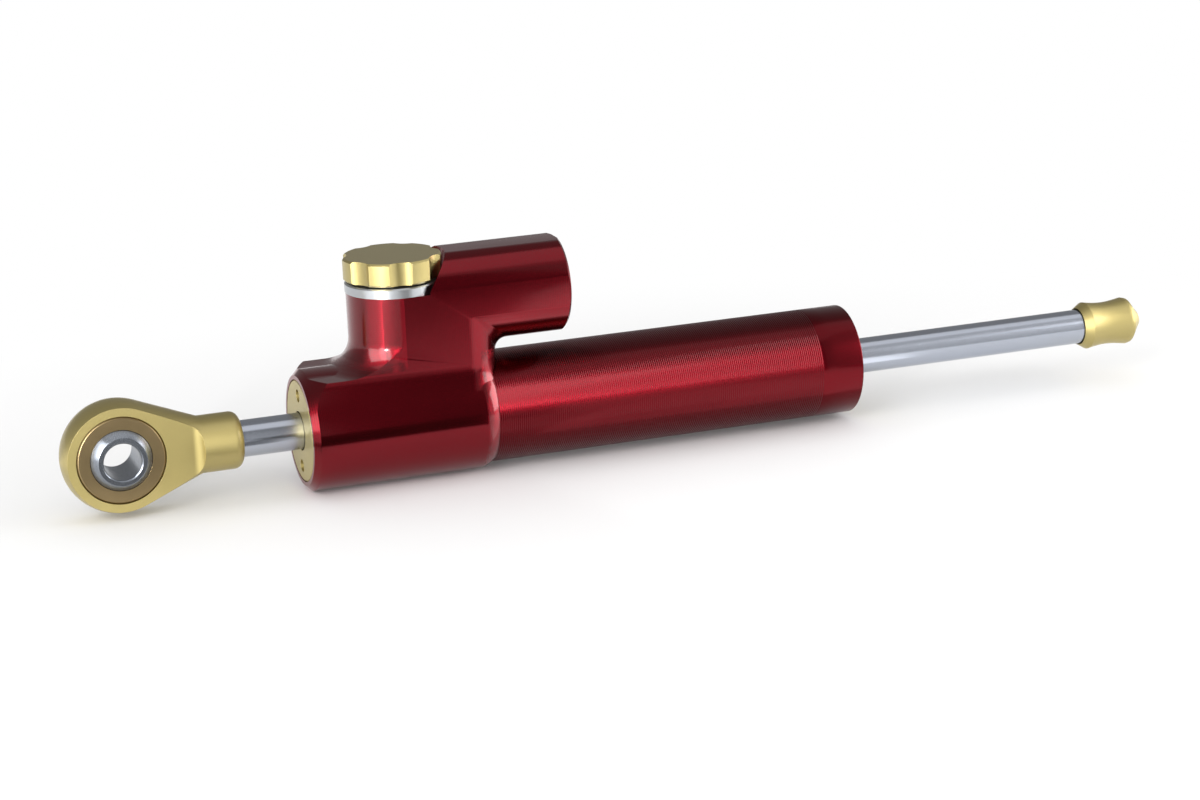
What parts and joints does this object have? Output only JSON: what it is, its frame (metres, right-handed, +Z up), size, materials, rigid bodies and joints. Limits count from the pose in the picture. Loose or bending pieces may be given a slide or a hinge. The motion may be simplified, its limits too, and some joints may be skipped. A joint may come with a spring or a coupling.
{
  "type": "motorcycle steering damper",
  "caption": "Through-rod hydraulic steering damper with a spherical rod end, a click adjuster knob, a side reservoir and a bumper cap on the rod's free end.",
  "frame": {"origin": "centre of the bore through the rod end's ball", "axes": "+X along the rod from the rod end to the bumper cap, +Y along the ball's bore away from the front, +Z up along the adjuster's axis"},
  "size_m": [0.2564, 0.0266, 0.0498],
  "materials": {
    "red_anodised": "red anodised, satin to glossy",
    "gold_anodised": "pale gold anodised, turned",
    "bare_aluminium": "bare turned aluminium",
    "chromed_rod": "ground and hard chromed",
    "bearing_steel": "ground and polished steel",
    "bronze": "sintered bronze",
    "rubber": "black nitrile rubber",
    "seal_polymer": "dark seal polymer",
    "piston_steel": "machined steel",
    "black_steel": "blackened steel"
  },
  "bodies": {
    "body": {"housing": "red_anodised", "damper_tube": "red_anodised", "cylinder_liner": "bare_aluminium", "left_seal_head": "gold_anodised", "right_seal_head": "gold_anodised", "left_wiper": "seal_polymer", "right_wiper": "seal_polymer", "left_rod_bush": "bronze", "right_rod_bush": "bronze", "left_rod_seal": "seal_polymer", "right_rod_seal": "seal_polymer", "left_seal_washer": "piston_steel", "right_seal_washer": "piston_steel", "left_head_o_ring": "rubber", "right_head_o_ring": "rubber", "tube_o_ring": "rubber", "adjuster_gland": "bare_aluminium", "gland_o_ring": "rubber", "valve_sleeve": "bronze", "stop_pin": "piston_steel", "reservoir_cap": "red_anodised", "reservoir_cap_o_ring": "rubber", "reservoir_circlip": "black_steel", "fill_screw": "black_steel"},
    "knob": {"adjuster_knob": "gold_anodised", "adjuster_spindle": "piston_steel", "spindle_o_ring": "rubber", "click_balls": "bearing_steel", "click_springs": "piston_steel"},
    "floating_piston": {"floating_piston": "bare_aluminium", "floating_piston_o_ring": "rubber"},
    "piston": {"piston": "bare_aluminium", "piston_ring": "seal_polymer"},
    "rod": {"damper_rod": "chromed_rod", "piston_clips": "black_steel", "rod_end": "gold_anodised", "bearing_race": "bronze", "bumper_cap": "gold_anodised"},
    "ball": {"bearing_ball": "bearing_steel"}
  },
  "joints": [
    {"name": "rod_slide", "type": "slide", "parent": "body", "child": "piston", "axis": [1, 0, 0], "range_m": [-0.0607, 0.013]},
    {"name": "rod_spin", "type": "hinge", "parent": "piston", "child": "rod", "pos_m": [0.1272, 0, 0], "axis": [1, 0, 0], "continuous": true},
    {"name": "ball_spin", "type": "hinge", "parent": "rod", "child": "ball", "pos_m": [0, 0, 0], "axis": [0, 1, 0], "continuous": true},
    {"name": "knob_turn", "type": "hinge", "parent": "body", "child": "knob", "pos_m": [0.062, 0, 0.034], "axis": [0, 0, 1], "range_deg": [-150, 150]},
    {"name": "floating_piston_slide", "type": "slide", "parent": "body", "child": "floating_piston", "axis": [1, 0, 0], "range_m": [-0.0039, 0.0068]}
  ]
}
